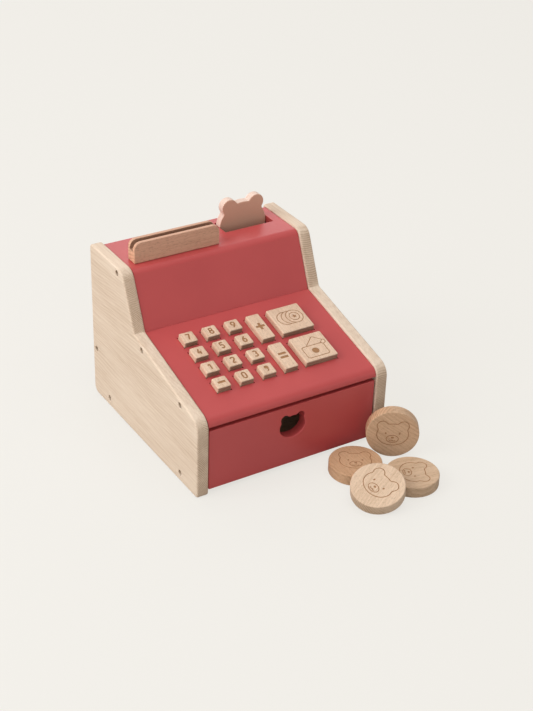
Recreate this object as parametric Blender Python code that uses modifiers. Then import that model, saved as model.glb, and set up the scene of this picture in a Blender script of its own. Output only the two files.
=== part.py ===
"""Toy cash register: wooden side boards, a painted body with sixteen keys, a card
holder and a rocking lever on top, a pull-out drawer and four play coins.

Drawn with X = 0 in the register's middle, Y = 0 at its front edge and Z = 0 on the
table, then moved so that the origin is under the middle of the whole set. Metres, +Z up.
"""
import math

import bmesh
import bpy
from mathutils import Matrix, Vector

MM = 0.001

# ---- driving dimensions, in millimetres ----
INNER_WIDTH = 176.0          # between the side boards
SIDE_THICK = 12.0
SIDE_EDGE_ROUND = 2.0
DEPTH = 206.0
HEIGHT = 160.0
FRONT_HEIGHT = 78.0          # where the keypad slope starts, at the front
STEP_Y, STEP_Z = 117.5, 107.0      # foot of the steep display face
BROW_Y = 140.5               # top of the steep display face
INSET = 1.7                  # red boards stand this far inside the side boards' outline
GAP = 0.3                    # between neighbouring pieces

BOARD = 8.0                  # top, display and keypad boards
THIN_BOARD = 6.0             # back and bottom boards
NOSE_ROUND = 8.5             # keypad's rounded front edge
BROW_ROUND = 8.0             # rounded edge between top and display face
UNDERSIDE = 6.0              # height of the body's underside above the table
BACK_INSET = 4.7             # back board inside the side boards' back edge
FIT_X = INNER_WIDTH / 2 - GAP      # half width of a board between the side boards

KEY_RISE = 5.5               # key top above the keypad
KEY_ROUND = 1.1              # round edges of a key's cap
KEY_CLEAR = 0.3              # play around a key in its hole
KEY_FLANGE = 1.6             # flange's overhang under the keypad
FLANGE_THICK = 3.0
KEY_WIDE, KEY_LONG = 13.8, 13.6
TALL_WIDE, TALL_LONG = 14.0, 33.6
BIG_WIDE = 34.4
COLUMNS = (-57.0, -33.6, -10.2)    # middles of the small keys' columns
ROW_FIRST, ROW_PITCH = 35.6, 20.67
TALL_COLUMN, BIG_COLUMN = 12.7, 45.2
TALL_ROWS = (86.9, 45.4)
FOAM_THICK = 6.0
BED_THICK = 4.0

DRAWER_HALF = 87.0           # half width of the drawer front
DRAWER_FRONT_THICK = 10.5
DRAWER_TOP = 66.0
DRAWER_FOOT = 4.4            # the front hangs lower than the body's underside
FINGER_HOLE = (-1.0, 44.1)   # its middle
DRAWER_SIDE_X = 86.5         # outer face of the drawer's sides
DRAWER_SIDE_THICK = 7.0
DRAWER_SIDE_TOP = 55.0
DRAWER_BACK_Y = 184.0
DRAWER_BACK_TOP = 62.0
DRAWER_FLOOR = (13.5, 17.5)
DRAWER_TRAVEL = 105.0

SLOT_X = (25.0, 78.0)
SLOT_Y = (170.0, 192.2)
LEVER_X = 51.5
LEVER_Y = (182.9, 190.9)
LEVER_HEAD_Z = 155.0
AXLE_Z = 122.0
AXLE_RADIUS = 2.0            # a steel rod, thinner than the lever plate
AXLE_DEPTH = 5.0             # how far the axle goes into each side board

HOLDER_X = (-81.1, 7.1)
HOLDER_Y = (150.9, 163.9)
HOLDER_RISE = 20.5
HOLDER_ROUND = 7.0
GROOVE_WIDE, GROOVE_DEEP = 5.6, 9.1

COIN_RADIUS = 24.5
COIN_THICK = 11.0
COIN_EDGE = 0.8

SET_MIDDLE = (7.12, 51.24)   # middle of the whole set, coins included, as drawn

SCREW_HEAD_RADIUS = 2.5
SCREW_SHANK_RADIUS = 1.5
SCREW_LENGTH = 27.0
SCREW_SINK = 2.5             # head's top below the side board's face
SCREW_DEPTH = 3.4            # screw's middle below a painted board's face

# ---- the body's section, seen from the right: Y along, Z up ----
SLOPE = math.atan2(STEP_Z - FRONT_HEIGHT, STEP_Y)
STEEP = math.atan2(HEIGHT - STEP_Z, BROW_Y - STEP_Y)
ALONG = Vector((math.cos(SLOPE), math.sin(SLOPE)))       # up the keypad
NORMAL = Vector((-math.sin(SLOPE), math.cos(SLOPE)))     # out of the keypad
CLIMB = Vector((math.cos(STEEP), math.sin(STEEP)))       # up the display face
FACE = Vector((-math.sin(STEEP), math.cos(STEEP)))       # out of the display face
TOP_Z = HEIGHT - INSET
BACK_Y = DEPTH - BACK_INSET
KEYPAD_FOOT = Vector((0.0, FRONT_HEIGHT)) - NORMAL * INSET


def meeting(point_a, way_a, point_b, way_b):
    """Where two straight lines of the section cross."""
    between = point_b - point_a
    turn = way_a.x * way_b.y - way_a.y * way_b.x
    reach = (between.x * way_b.y - between.y * way_b.x) / turn
    return point_a + way_a * reach


STEP = meeting(KEYPAD_FOOT, ALONG, Vector((STEP_Y, STEP_Z)) - FACE * INSET, CLIMB)
BROW = meeting(STEP, CLIMB, Vector((0.0, TOP_Z)), Vector((1.0, 0.0)))
NOSE = meeting(KEYPAD_FOOT, ALONG, Vector((INSET, 0.0)), Vector((0.0, 1.0)))


# ---- scene, collections and materials ----
for leftover in list(bpy.data.objects):
    bpy.data.objects.remove(leftover)

parts = bpy.data.collections.new("toy_cash_register")
cutters = bpy.data.collections.new("cutters")
bpy.context.scene.collection.children.link(parts)
bpy.context.scene.collection.children.link(cutters)

COLOURS = {
    "side_wood": ((0.80, 0.64, 0.45), 0.55),
    "red_paint": ((0.55, 0.09, 0.08), 0.45),
    "beech": ((0.74, 0.53, 0.35), 0.55),
    "rose_paint": ((0.70, 0.45, 0.34), 0.50),
    "inner_wood": ((0.72, 0.57, 0.40), 0.65),
    "foam": ((0.16, 0.16, 0.17), 0.90),
    "screw_steel": ((0.20, 0.20, 0.21), 0.40),
    "coin_wood": ((0.78, 0.60, 0.42), 0.55),
}


def paint(obj, finish):
    """Give an object its own material of a named finish."""
    colour, roughness = COLOURS[finish]
    material = bpy.data.materials.new(f"{obj.name}_{finish}")
    material.use_nodes = True
    shader = material.node_tree.nodes["Principled BSDF"]
    shader.inputs["Base Color"].default_value = (*colour, 1.0)
    shader.inputs["Roughness"].default_value = roughness
    shader.inputs["Metallic"].default_value = 0.9 if finish == "screw_steel" else 0.0
    obj.data.materials.append(material)


# ---- makers ----
def keep(name, mesh, finish=None, place=None):
    """Wrap a mesh in an object: a part where it has a finish, or else a cutter."""
    obj = bpy.data.objects.new(name, mesh)
    if place is not None:
        obj.matrix_world = place
    if finish:
        parts.objects.link(obj)
        paint(obj, finish)
    else:
        cutters.objects.link(obj)
        obj.hide_render = True
        obj.display_type = "WIRE"
    return obj


def block(name, low, high, finish=None, rounding=0.0, place=None):
    """A box between two corners in millimetres, its edges rounded if asked."""
    low, high = Vector(low) * MM, Vector(high) * MM
    shape = bmesh.new()
    bmesh.ops.create_cube(shape, size=1.0)
    bmesh.ops.scale(shape, vec=high - low, verts=shape.verts)
    if rounding:
        bmesh.ops.bevel(shape, geom=shape.edges[:], offset=rounding * MM, segments=2,
                        profile=0.5, affect="EDGES", clamp_overlap=True)
    mesh = bpy.data.meshes.new(name)
    shape.to_mesh(mesh)
    shape.free()
    middle = Matrix.Translation((low + high) / 2)
    return keep(name, mesh, finish, middle if place is None else place @ middle)


def rounded(corners, step=10.0):
    """An outline from (x, y, radius) corners, each round one an arc."""
    outline = []
    for index, (x, y, radius) in enumerate(corners):
        here = Vector((x, y))
        before = Vector(corners[index - 1][:2]) - here
        after = Vector(corners[(index + 1) % len(corners)][:2]) - here
        if not radius:
            outline.append(here)
            continue
        before.normalize()
        after.normalize()
        half = before.angle(after) / 2
        bisector = (before + after).normalized()
        centre = here + bisector * (radius / math.sin(half))
        start = here + before * (radius / math.tan(half)) - centre
        sweep = start.angle_signed(here + after * (radius / math.tan(half)) - centre)
        count = max(2, round(abs(math.degrees(sweep)) / step))
        for turn in range(count + 1):
            outline.append(centre + Matrix.Rotation(-sweep * turn / count, 2) @ start)
    return outline


# a curve drawn in (Y, Z) and extruded along X
SECTION = Matrix(((0, 0, 1, 0), (1, 0, 0, 0), (0, 1, 0, 0), (0, 0, 0, 1)))
# a curve drawn in (X, Z) and extruded along Y
ELEVATION = Matrix(((1, 0, 0, 0), (0, 0, -1, 0), (0, 1, 0, 0), (0, 0, 0, 1)))


def slab(name, outline, thickness, place, finish=None, edge=0.0):
    """A flat outline in millimetres given a thickness, and round edges if asked."""
    curve = bpy.data.curves.new(name, "CURVE")
    curve.dimensions = "2D"
    curve.fill_mode = "BOTH"
    curve.extrude = (thickness / 2 - edge) * MM
    curve.bevel_depth = edge * MM
    curve.bevel_resolution = 1
    curve.offset = -edge * MM
    curve.render_resolution_u = 0
    line = curve.splines.new("POLY")
    line.points.add(len(outline) - 1)
    for point, (x, y) in zip(line.points, outline):
        point.co = (x * MM, y * MM, 0.0, 1.0)
    line.use_cyclic_u = True
    drawn = bpy.data.objects.new(name + "_outline", curve)
    cutters.objects.link(drawn)
    bpy.context.view_layer.update()
    solid = drawn.evaluated_get(bpy.context.evaluated_depsgraph_get())
    mesh = bpy.data.meshes.new_from_object(solid)
    bpy.data.objects.remove(drawn)
    shape = bmesh.new()
    shape.from_mesh(mesh)
    bmesh.ops.remove_doubles(shape, verts=shape.verts, dist=0.00001)
    bmesh.ops.recalc_face_normals(shape, faces=shape.faces)
    shape.to_mesh(mesh)
    shape.free()
    mesh.name = name
    return keep(name, mesh, finish, place)


def turned(name, profile, steps, finish=None, place=None):
    """A profile of (radius, height) points, top to bottom, spun round Z."""
    mesh = bpy.data.meshes.new(name)
    points = [(radius * MM, 0.0, height * MM) for radius, height in profile]
    mesh.from_pydata(points, [(i, i + 1) for i in range(len(points) - 1)], [])
    obj = keep(name, mesh, finish, place)
    spin = obj.modifiers.new("spin", "SCREW")
    spin.steps = steps
    spin.render_steps = steps
    spin.use_merge_vertices = True
    spin.merge_threshold = 0.00001
    return obj


def combine(obj, other, operation="DIFFERENCE"):
    """Cut another shape out of an object, or join it on."""
    change = obj.modifiers.new(other.name, "BOOLEAN")
    change.operation = operation
    change.solver = "EXACT"
    change.object = other


def smooth(obj):
    """Shade an object's round faces smooth and keep its sharp edges."""
    obj.data.shade_smooth()
    obj.data.set_sharp_from_angle(angle=math.radians(35))


# ---- side boards and screws ----
def side_outline():
    """The side board's outline in (Y, Z), from the front foot round to the back foot."""
    return rounded([
        (0.0, 0.0, 3.0),
        (0.0, FRONT_HEIGHT, 14.0),
        (STEP_Y, STEP_Z, 2.0),
        (BROW_Y, HEIGHT, 12.5),
        (DEPTH, HEIGHT, 3.5),
        (DEPTH, 0.0, 8.0),
    ])


def keypad_depth(y, below):
    """Height of a point that lies a depth below the keypad's face, at a given Y."""
    return KEYPAD_FOOT.y + (y - KEYPAD_FOOT.x) * math.tan(SLOPE) - below / math.cos(SLOPE)


# (Y, Z) of each screw: two in the bottom, two in the keypad, one in the top and the back
SCREWS = (
    (31.3, UNDERSIDE + THIN_BOARD / 2),
    (172.6, UNDERSIDE + THIN_BOARD / 2),
    (31.0, keypad_depth(31.0, SCREW_DEPTH)),
    (103.0, keypad_depth(103.0, SCREW_DEPTH)),
    (149.5, TOP_Z - SCREW_DEPTH),
    (BACK_Y - THIN_BOARD / 2, 50.9),
)


def across(side, y, z):
    """A place on a side board's outer face, with local +Z pointing out of the board."""
    face_x = side * (INNER_WIDTH / 2 + SIDE_THICK)
    spot = Matrix.Translation(Vector((face_x, y, z)) * MM)
    return spot @ Matrix.Rotation(side * math.pi / 2, 4, "Y")


def screw_profile(play, top):
    """The screw's outline, or its hole's when there is play around it."""
    head = SCREW_HEAD_RADIUS + play
    shank = SCREW_SHANK_RADIUS + play
    bottom = -SCREW_SINK - SCREW_LENGTH
    return [
        (0.0, top),
        (head, top),
        (head, -SCREW_SINK - 3.0 - play),
        (shank, -SCREW_SINK - 4.0 - play),
        (shank, bottom + 3.0),
        (shank * 0.3, bottom - play),
        (0.0, bottom - play),
    ]


def make_sides():
    """Both side boards, their screws, and the cutters of the screw holes."""
    holes = []
    boards = []
    for side, word in ((-1, "left"), (1, "right")):
        middle = side * (INNER_WIDTH + SIDE_THICK) / 2
        place = Matrix.Translation((middle * MM, 0, 0)) @ SECTION
        board = slab(f"side_panel_{word}", side_outline(), SIDE_THICK, place,
                     "side_wood", SIDE_EDGE_ROUND)
        boards.append(board)
        for number, (y, z) in enumerate(SCREWS, 1):
            spot = across(side, y, z)
            hole = turned(f"screw_hole_{word}_{number}", screw_profile(GAP, 1.0), 12, None, spot)
            combine(board, hole)
            holes.append(hole)
            screw = turned(f"screw_{word}_{number}", screw_profile(0.0, -SCREW_SINK), 12,
                           "screw_steel", spot)
            smooth(screw)
        smooth(board)
    return boards, holes


# ---- painted body ----
def make_body(holes):
    """Top, display, keypad, back and bottom boards between the side boards."""
    width = 2 * FIT_X
    brow_reach = BROW_ROUND * math.tan(STEEP / 2)
    brow_foot = BROW - CLIMB * brow_reach
    inward = meeting(brow_foot, FACE, Vector((0.0, TOP_Z - BOARD)), Vector((1.0, 0.0)))
    brow = brow_arc(brow_foot)
    top_outline = rounded([
        (*brow_foot, 0),
        (*inward, 0),
        (BACK_Y, TOP_Z - BOARD, 0),
        (BACK_Y, TOP_Z, 1.0),
        (*brow[0], 0),
    ]) + brow[1:]
    top = slab("top_panel", top_outline, width, SECTION, "red_paint")
    slot = block("slot_cutter", (SLOT_X[0], SLOT_Y[0], TOP_Z - 2 * BOARD),
                 (SLOT_X[1], SLOT_Y[1], TOP_Z + BOARD))
    combine(top, slot)

    low = STEP + CLIMB * (GAP / math.sin(STEEP - SLOPE))
    high = brow_foot - CLIMB * GAP
    low_back = meeting(low, ALONG, low - FACE * BOARD, CLIMB)
    display_outline = [low, low_back, high - FACE * BOARD, high]
    display = slab("display_panel", display_outline, width, SECTION, "red_paint")

    keypad = slab("keypad_panel", keypad_outline(), width, SECTION, "red_paint")
    back = block("back_panel", (-FIT_X, BACK_Y - THIN_BOARD, UNDERSIDE),
                 (FIT_X, BACK_Y, TOP_Z - BOARD - GAP), "red_paint")
    bottom = block("bottom_panel",
                   (-FIT_X, INSET + DRAWER_FRONT_THICK + GAP, UNDERSIDE),
                   (FIT_X, BACK_Y - THIN_BOARD - GAP, UNDERSIDE + THIN_BOARD), "inner_wood")

    boards = (bottom, bottom, keypad, keypad, top, back)
    for index, hole in enumerate(holes):
        combine(boards[index % len(SCREWS)], hole)
    for board in (top, display, keypad):
        smooth(board)
    return keypad


def brow_arc(foot, count=8):
    """The round edge from the top board's upper face down to the display face."""
    centre = foot - FACE * BROW_ROUND
    turns = [math.pi / 2 + STEEP * i / count for i in range(count)]
    return [centre + BROW_ROUND * Vector((math.cos(a), math.sin(a))) for a in turns]


def keypad_outline():
    """The keypad board's section: a round nose with a short lip, then the slope."""
    rear = STEP + ALONG * (BOARD + 2.0)
    lip = NOSE_ROUND * math.tan((math.pi / 2 - SLOPE) / 2)
    inner = meeting(KEYPAD_FOOT - NORMAL * BOARD, ALONG,
                    Vector((INSET + BOARD, 0.0)), Vector((0.0, 1.0)))
    return rounded([
        (*rear, 0),
        (*NOSE, NOSE_ROUND),
        (INSET, NOSE.y - lip - GAP, 0),
        (INSET + BOARD, NOSE.y - lip - GAP, 0),
        (*inner, 0),
        (*(rear - NORMAL * BOARD), 0),
    ])


# ---- keys ----
def key_layout():
    """Name, middle (across, up the slope) and size of every key."""
    names = (("minus", "0", "comma"), ("1", "2", "3"), ("4", "5", "6"), ("7", "8", "9"))
    for row, trio in enumerate(names):
        for column, name in zip(COLUMNS, trio):
            yield f"key_{name}", column, ROW_FIRST + row * ROW_PITCH, KEY_WIDE, KEY_LONG
    for name, row in zip(("plus", "equals"), TALL_ROWS):
        yield f"key_{name}", TALL_COLUMN, row, TALL_WIDE, TALL_LONG
    for name, row in zip(("coins", "purse"), TALL_ROWS):
        yield f"key_{name}", BIG_COLUMN, row, BIG_WIDE, TALL_LONG


def make_key(name, across_x, up, wide, long, frame):
    """A wooden key: a round-edged cap on a wider flange that stays under the keypad."""
    place = frame @ Matrix.Translation((across_x * MM, up * MM, 0))
    under = -(BOARD + GAP)
    foot = under - FLANGE_THICK
    brim_x, brim_y = wide / 2 + KEY_FLANGE, long / 2 + KEY_FLANGE
    flange = block(f"{name}_flange", (-brim_x, -brim_y, foot), (brim_x, brim_y, under),
                   place=place)
    key = block(name, (-wide / 2, -long / 2, foot + FLANGE_THICK / 2),
                (wide / 2, long / 2, KEY_RISE), "beech", KEY_ROUND, place)
    combine(key, flange, "UNION")


def make_keys(keypad):
    """All keys in their holes, and the foam and board under them."""
    foot = Vector((0.0, *KEYPAD_FOOT)) * MM
    frame = Matrix.Translation(foot) @ Matrix.Rotation(SLOPE, 4, "X")
    holes = bmesh.new()
    for name, across_x, up, wide, long in key_layout():
        make_key(name, across_x, up, wide, long, frame)
        hole = bmesh.ops.create_cube(holes, size=1.0)["verts"]
        size = Vector((wide + 2 * KEY_CLEAR, long + 2 * KEY_CLEAR, 3 * BOARD)) * MM
        bmesh.ops.scale(holes, vec=size, verts=hole)
        bmesh.ops.translate(holes, vec=(across_x * MM, up * MM, 0), verts=hole)
    mesh = bpy.data.meshes.new("key_holes")
    holes.to_mesh(mesh)
    holes.free()
    combine(keypad, keep("key_holes", mesh, None, frame))

    foam_top = -(BOARD + GAP + FLANGE_THICK + GAP)
    bed_top = foam_top - FOAM_THICK - GAP
    low_v, high_v = ROW_FIRST - KEY_LONG, TALL_ROWS[0] + TALL_LONG / 2 + 4.0
    block("key_foam_mat", (COLUMNS[0] - 10, low_v, foam_top - FOAM_THICK),
          (BIG_COLUMN + 20, high_v, foam_top), "foam", place=frame)
    block("key_bed", (-FIT_X, low_v - 4, bed_top - BED_THICK),
          (FIT_X, high_v + 2, bed_top), "inner_wood", place=frame)


# ---- lever and card holder ----
def bear_reach(angle, head, ears, ear_radius):
    """Distance from the head's middle to a bear head's edge, in one direction."""
    way = Vector((math.cos(angle), math.sin(angle)))
    reach = 1.0 / math.hypot(way.x / head[0], way.y / head[1])
    for mirror in (-1, 1):
        ear = Vector((mirror * ears[0], ears[1]))
        nearest = ear.dot(way)
        miss = ear.length_squared - nearest ** 2
        if nearest > 0 and miss < ear_radius ** 2:
            reach = max(reach, nearest + math.sqrt(ear_radius ** 2 - miss))
    return reach


def bear_outline(middle, head, ears, ear_radius, start, stop, count):
    """Points of a bear head's edge: an oval head with two round ears."""
    outline = []
    for index in range(count):
        angle = start + (stop - start) * index / (count - 1)
        reach = bear_reach(angle, head, ears, ear_radius)
        outline.append(Vector(middle) + reach * Vector((math.cos(angle), math.sin(angle))))
    return outline


def make_lever():
    """The lever plate on its steel axle, which rests in both side boards."""
    head = (25.8, 24.2)
    upper = bear_outline((LEVER_X, LEVER_HEAD_Z), head, (14.6, 20.5), 8.3, 0.0, math.pi, 49)
    boss = 12.0
    arc = [math.pi + math.pi * i / 12 for i in range(13)]
    lower = [Vector((LEVER_X - head[0], TOP_Z - 2 * BOARD))]
    lower += [Vector((LEVER_X + boss * math.cos(a), AXLE_Z + boss * math.sin(a))) for a in arc]
    lower += [Vector((LEVER_X + head[0], TOP_Z - 2 * BOARD))]
    thick = LEVER_Y[1] - LEVER_Y[0]
    middle_y = sum(LEVER_Y) / 2
    axis = Vector((0.0, middle_y, AXLE_Z)) * MM
    outline = [point - Vector((0.0, AXLE_Z)) for point in upper + lower]
    lever = slab("lever_plate", outline, thick, Matrix.Translation(axis) @ ELEVATION,
                 "rose_paint")
    lying = Matrix.Translation(axis) @ Matrix.Rotation(math.pi / 2, 4, "Y")

    def rod(name, radius, half, finish=None):
        return turned(name, [(0, half), (radius, half), (radius, -half), (0, -half)], 24,
                      finish, lying)

    combine(lever, rod("lever_bore", AXLE_RADIUS + GAP, 84.0))
    smooth(lever)
    axle = rod("lever_axle", AXLE_RADIUS, INNER_WIDTH / 2 + AXLE_DEPTH, "screw_steel")
    smooth(axle)
    return rod("axle_sockets", AXLE_RADIUS + GAP, INNER_WIDTH / 2 + AXLE_DEPTH + GAP)


def make_holder():
    """The card holder: a block with round top corners and a groove along it."""
    foot = TOP_Z + GAP
    outline = rounded([
        (HOLDER_X[0], foot, 0),
        (HOLDER_X[1], foot, 0),
        (HOLDER_X[1], TOP_Z + HOLDER_RISE, HOLDER_ROUND),
        (HOLDER_X[0], TOP_Z + HOLDER_RISE, HOLDER_ROUND),
    ])
    middle_y = sum(HOLDER_Y) / 2
    place = Matrix.Translation((0, middle_y * MM, 0)) @ ELEVATION
    holder = slab("card_holder", outline, HOLDER_Y[1] - HOLDER_Y[0], place, "beech")
    top = TOP_Z + HOLDER_RISE
    groove = block("groove_cutter",
                   (HOLDER_X[0] - 5, middle_y - GROOVE_WIDE / 2, top - GROOVE_DEEP),
                   (HOLDER_X[1] + 5, middle_y + GROOVE_WIDE / 2, top + 5))
    combine(holder, groove)
    smooth(holder)


# ---- drawer ----
def make_drawer():
    """The drawer's five boards and the rail that stops it from coming out."""
    front_back = INSET + DRAWER_FRONT_THICK
    floor = UNDERSIDE + THIN_BOARD + GAP
    front = block("drawer_front", (-DRAWER_HALF, INSET, DRAWER_FOOT),
                  (DRAWER_HALF, front_back, DRAWER_TOP), "red_paint", 0.8)
    outline = bear_outline(FINGER_HOLE, (13.4, 11.2), (8.0, 8.7), 4.4, 0.0, 2 * math.pi, 73)
    place = Matrix.Translation((0, front_back * MM, 0)) @ ELEVATION
    combine(front, slab("finger_hole", outline[:-1], 4 * DRAWER_FRONT_THICK, place))
    smooth(front)

    side_front = front_back + GAP
    inner = DRAWER_SIDE_X - DRAWER_SIDE_THICK
    for side, word in ((-1, "left"), (1, "right")):
        edges = sorted((side * inner, side * DRAWER_SIDE_X))
        block(f"drawer_side_{word}", (edges[0], side_front, floor),
              (edges[1], DRAWER_BACK_Y - GAP, DRAWER_SIDE_TOP), "inner_wood")
    block("drawer_back", (-DRAWER_SIDE_X, DRAWER_BACK_Y, floor),
          (DRAWER_SIDE_X, DRAWER_BACK_Y + DRAWER_SIDE_THICK, DRAWER_BACK_TOP), "inner_wood")
    block("drawer_bottom", (-inner + GAP, side_front, DRAWER_FLOOR[0]),
          (inner - GAP, DRAWER_BACK_Y - GAP, DRAWER_FLOOR[1]), "inner_wood")

    rail_back = DRAWER_BACK_Y - DRAWER_TRAVEL - 2 * GAP
    block("drawer_stop_rail", (-FIT_X, rail_back - BOARD, DRAWER_SIDE_TOP + 2.0),
          (FIT_X, rail_back, DRAWER_SIDE_TOP + 12.0), "inner_wood")


# ---- play coins ----
def make_coin(name, spot, tilt, azimuth):
    """A wooden coin; its face looks up, then leans by tilt towards azimuth."""
    half, radius = COIN_THICK / 2, COIN_RADIUS
    cut = COIN_EDGE * (1 - math.sqrt(0.5))
    quarter = [(radius - COIN_EDGE, half), (radius - cut, half - cut), (radius, half - COIN_EDGE)]
    profile = [(0.0, half)] + quarter
    profile += [(r, -z) for r, z in reversed(quarter)] + [(0.0, -half)]
    lean = Matrix.Rotation(azimuth, 4, "Z") @ Matrix.Rotation(tilt, 4, "X")
    place = Matrix.Translation(Vector(spot) * MM) @ lean
    smooth(turned(name, profile, 48, "coin_wood", place))


def make_coins():
    """Four coins in front of the drawer: two flat, one propped up, one on edge."""
    half = COIN_THICK / 2
    make_coin("play_coin_left", (46.3, -32.1, half), 0.0, 0.0)
    make_coin("play_coin_right", (81.2, -71.5, half), 0.0, 0.0)
    make_coin("play_coin_upright", (91.0, -25.2, COIN_RADIUS), math.radians(90.0),
              math.radians(-32.8))
    # its far side lies on the right coin's rim
    tilt = math.radians(18.0)
    height = ((COIN_RADIUS - COIN_EDGE) * math.sin(tilt)
              + (half - COIN_EDGE) * math.cos(tilt) + COIN_EDGE)
    make_coin("play_coin_propped", (38.0, -78.6, height), tilt, math.radians(-46.0))


side_boards, screw_holes = make_sides()
make_keys(make_body(screw_holes))
sockets = make_lever()
for side_board in side_boards:
    combine(side_board, sockets)
make_holder()
make_drawer()
make_coins()

bpy.context.view_layer.update()
to_origin = Matrix.Translation((-SET_MIDDLE[0] * MM, -SET_MIDDLE[1] * MM, 0.0))
for drawn_object in (*parts.objects, *cutters.objects):
    drawn_object.matrix_world = to_origin @ drawn_object.matrix_world
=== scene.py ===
"""Looks of the toy cash register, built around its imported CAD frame.

Everything is drawn with X = 0 in the register's middle, Y = 0 at its front edge and
Z = 0 on the table, and then moved to the CAD frame, whose origin lies under the middle
of the whole set. Outlines and sizes are in millimetres, objects in metres.
"""
import math

import bmesh
import bpy
import numpy as np
from mathutils import Matrix, Vector


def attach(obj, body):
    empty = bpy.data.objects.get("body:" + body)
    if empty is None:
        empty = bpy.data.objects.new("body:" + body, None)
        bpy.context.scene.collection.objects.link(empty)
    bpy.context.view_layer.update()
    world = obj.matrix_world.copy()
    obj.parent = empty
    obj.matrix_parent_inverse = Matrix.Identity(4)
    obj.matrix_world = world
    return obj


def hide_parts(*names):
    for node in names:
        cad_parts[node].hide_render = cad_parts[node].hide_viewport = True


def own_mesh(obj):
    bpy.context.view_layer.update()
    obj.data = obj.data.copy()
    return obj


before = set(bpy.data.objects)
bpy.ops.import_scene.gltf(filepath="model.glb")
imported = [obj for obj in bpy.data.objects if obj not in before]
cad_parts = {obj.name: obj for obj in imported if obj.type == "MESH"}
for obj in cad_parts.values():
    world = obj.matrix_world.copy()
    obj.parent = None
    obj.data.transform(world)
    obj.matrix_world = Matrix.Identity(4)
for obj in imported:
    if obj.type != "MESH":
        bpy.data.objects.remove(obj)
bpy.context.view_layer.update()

MM = 0.001

# ---- driving dimensions, in millimetres ----
SET_MIDDLE = Vector((7.12, 51.24, 0.0))            # the CAD frame's origin
DEPTH, HEIGHT = 206.0, 160.0
FRONT_HEIGHT = 78.0                # where the keypad slope starts, at the front
STEP_Y, STEP_Z = 117.5, 107.0      # foot of the steep display face
BROW_Y = 140.5                     # top of the steep display face
INSET = 1.7                        # painted boards stand this far inside the side boards
BOARD = 8.0                        # painted boards' thickness
NOSE_ROUND = 8.5                   # keypad's front edge
BROW_ROUND = 8.0                   # edge between display face and top
SIDE_EDGE_ROUND = 2.0
KEY_FLANGE = 1.6                   # key's flange beyond its cap
KEY_CORNER, KEY_EDGE = 1.7, 1.2    # round upright and round top edges of a key
KEY_CLEAR = 0.15                   # gap between a key and its hole
ROUTER_RADIUS = 0.8                # drilled-out corners of the key holes
SCREW_SINK = 2.5                   # screw heads lie this deep in the side boards
SLOT_X, SLOT_Y = (25.0, 78.0), (170.0, 192.2)      # the lever's slot in the top
SLOT_ROUND = 0.8
BOSS_RADIUS, AXLE_BORE = 12.0, 2.3                 # the lever plate's foot, round its axle
GROOVE_WIDE, GROOVE_DEEP = 5.6, 9.1                # the card holder's groove
HOLDER_ROUND = 7.0                                 # the card holder's shoulders
FINGER_HOLE = Vector((-1.0, 44.1))                 # its middle, in the drawer's front
COIN_RADIUS, COIN_THICK, COIN_EDGE = 24.5, 11.0, 1.0
PLY_LAYER = 2.3                    # two layers of the plywood
GAP = 0.3                          # between pieces that only touch in the real thing
PAINTED_OVER = 0.05                # the line left between display and keypad boards
BEYOND = 5.0                       # cutting tools stick out this far

TO_FRAME = Matrix.Translation(-SET_MIDDLE * MM)


# ---- outlines ----
def arc(middle, radius, start, stop, step=6.0):
    """Points along a circle, or an oval where the radius is a pair; degrees."""
    wide, tall = radius if isinstance(radius, tuple) else (radius, radius)
    count = max(2, round(abs(stop - start) / step))
    turns = [math.radians(start + (stop - start) * i / count) for i in range(count + 1)]
    return [Vector((middle[0] + wide * math.cos(t), middle[1] + tall * math.sin(t)))
            for t in turns]


def rounded(corners, closed=True, step=6.0):
    """A path through (x, y, radius) corners, each round one an arc."""
    path = []
    last = len(corners) - 1
    for index, (x, y, radius) in enumerate(corners):
        here = Vector((x, y))
        if not radius or (not closed and index in (0, last)):
            path.append(here)
            continue
        before = (Vector(corners[index - 1][:2]) - here).normalized()
        after = (Vector(corners[(index + 1) % len(corners)][:2]) - here).normalized()
        half = before.angle(after) / 2
        centre = here + (before + after).normalized() * (radius / math.sin(half))
        start = here + before * (radius / math.tan(half)) - centre
        sweep = start.angle_signed(here + after * (radius / math.tan(half)) - centre)
        count = max(2, round(abs(math.degrees(sweep)) / step))
        path += [centre + Matrix.Rotation(-sweep * i / count, 2) @ start
                 for i in range(count + 1)]
    return path


def rectangle(low, high, radius):
    """A rectangle with round corners."""
    return rounded([(low[0], low[1], radius), (high[0], low[1], radius),
                    (high[0], high[1], radius), (low[0], high[1], radius)])


def relieved(left, low, right, high, radius):
    """A rectangle whose sharp corners are drilled out, as a router leaves a square hole."""
    corners = ((left, low), (right, low), (right, high), (left, high))
    return [point for quarter, corner in enumerate(corners)
            for point in arc(corner, radius, 90 + 90 * quarter, 360 + 90 * quarter, 30)]


def softened(outline, spacing, passes=8):
    """A closed outline with points evenly spaced and its sharp notches eased."""
    loop = np.array([tuple(point) for point in outline + outline[:1]])
    length = np.concatenate([[0.0], np.cumsum(np.hypot(*np.diff(loop, axis=0).T))])
    stations = np.linspace(0.0, length[-1], max(12, round(length[-1] / spacing)), endpoint=False)
    even = np.stack([np.interp(stations, length, loop[:, side]) for side in (0, 1)], axis=1)
    for _ in range(passes):
        even = (np.roll(even, 1, axis=0) + 2 * even + np.roll(even, -1, axis=0)) / 4
    return [Vector(point) for point in even]


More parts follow.
